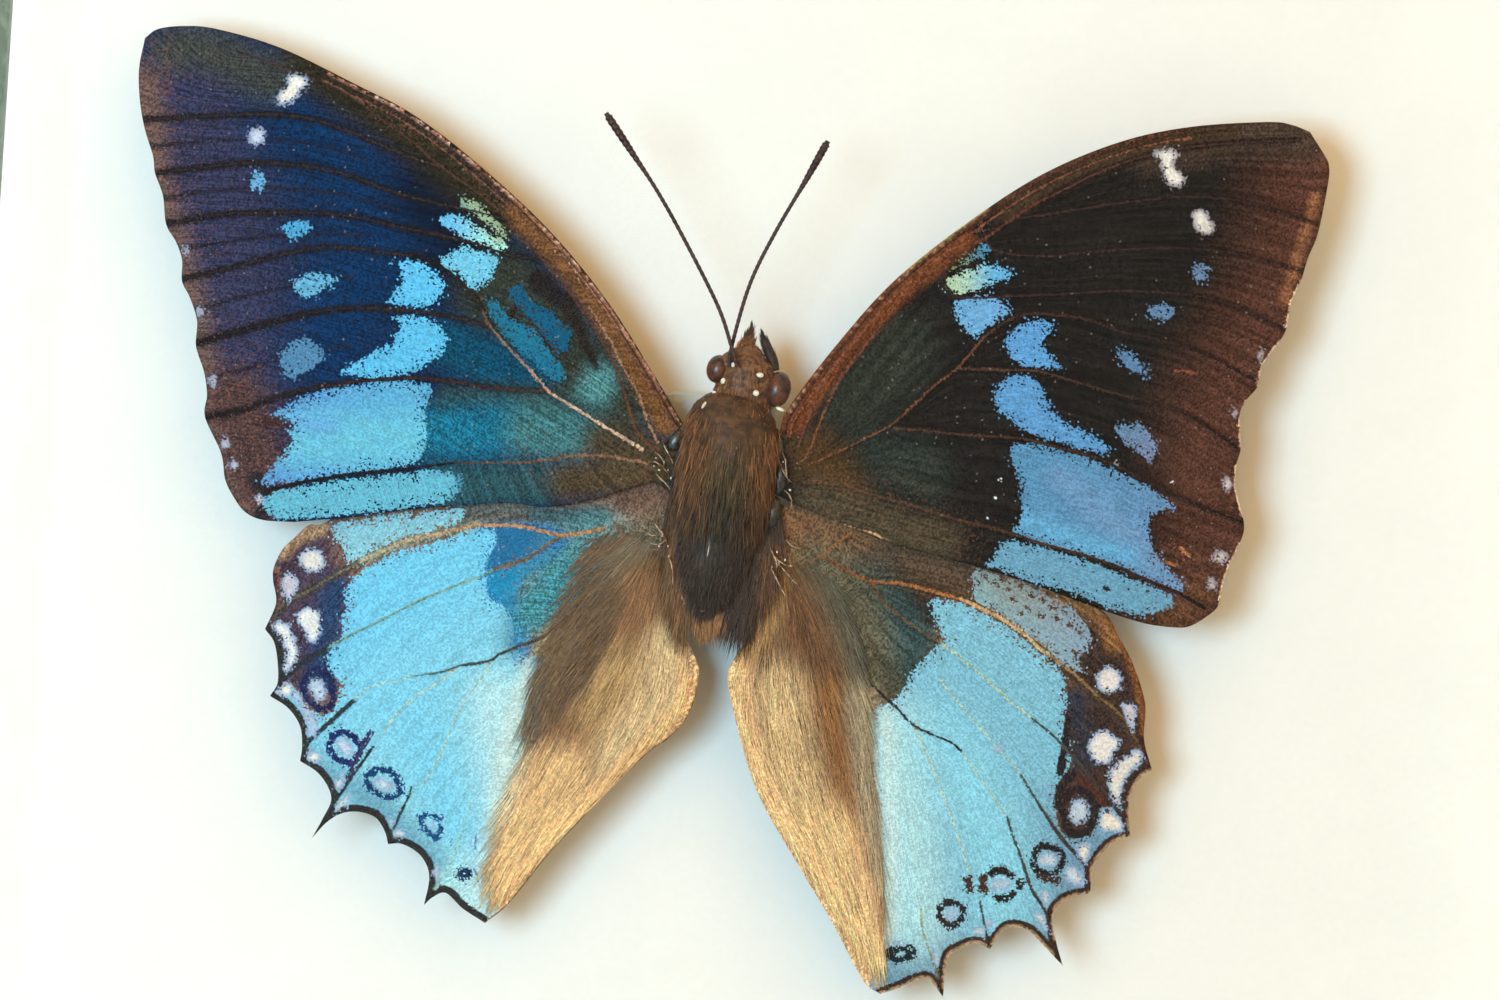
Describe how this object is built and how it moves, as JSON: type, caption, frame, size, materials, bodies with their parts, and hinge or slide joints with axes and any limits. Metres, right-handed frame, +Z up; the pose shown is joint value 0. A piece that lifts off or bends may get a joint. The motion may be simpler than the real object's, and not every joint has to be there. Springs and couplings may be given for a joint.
{
  "type": "framed butterfly specimen",
  "caption": "Blue sharp-tailed butterfly set with open wings over a white board, in a shallow painted box frame with a glass front.",
  "frame": {"origin": "on the surface that the frame stands on, under the middle of the frame", "axes": "+X to the right as seen from the glass side, +Y from the glass to the back, +Z up"},
  "size_m": [0.126, 0.028, 0.112],
  "materials": {
    "frame_paint": "grey-green paint over fine wood grain, satin",
    "glass": "clear, polished",
    "white_board": "warm white, matte, faint tooth",
    "foam_board": "white, matte",
    "fibreboard": "brown pressed fibres, matte",
    "grey_acrylic": "grey, translucent, satin",
    "brown_hair": "combed olive and rust-brown hair",
    "dark_abdomen": "dark grey-brown scales, a few glossy spots",
    "eye": "glossy red-brown",
    "antenna": "near-black brown, finely ringed",
    "blue_wing": "velvety blue-violet scales with sky-blue spots and dark veins",
    "dark_wing": "velvety brown-black scales with lilac-blue spots and dark veins",
    "sky_blue_wing": "sky-blue scales, tan hair at the inner margin, black scalloped edge",
    "leg": "brown, finely bristled"
  },
  "bodies": {
    "root": {"frame_rail_bottom": "frame_paint", "frame_rail_top": "frame_paint", "frame_rail_left": "frame_paint", "frame_rail_right": "frame_paint", "glass_pane": "glass", "backing_board": "white_board", "spacer_left": "foam_board", "spacer_right": "foam_board", "spacer_bottom": "foam_board", "spacer_top": "foam_board", "back_panel": "fibreboard", "mounting_pad": "grey_acrylic", "thorax": "brown_hair", "abdomen": "dark_abdomen", "head": "brown_hair", "eye_left": "eye", "eye_right": "eye", "palp_left": "brown_hair", "palp_right": "brown_hair", "antenna_left": "antenna", "antenna_right": "antenna", "forewing_left": "blue_wing", "forewing_right": "dark_wing", "hindwing_left": "sky_blue_wing", "hindwing_right": "sky_blue_wing", "leg_mid_left": "leg", "leg_hind_left": "leg", "leg_mid_right": "leg", "leg_hind_right": "leg"}
  },
  "joints": []
}
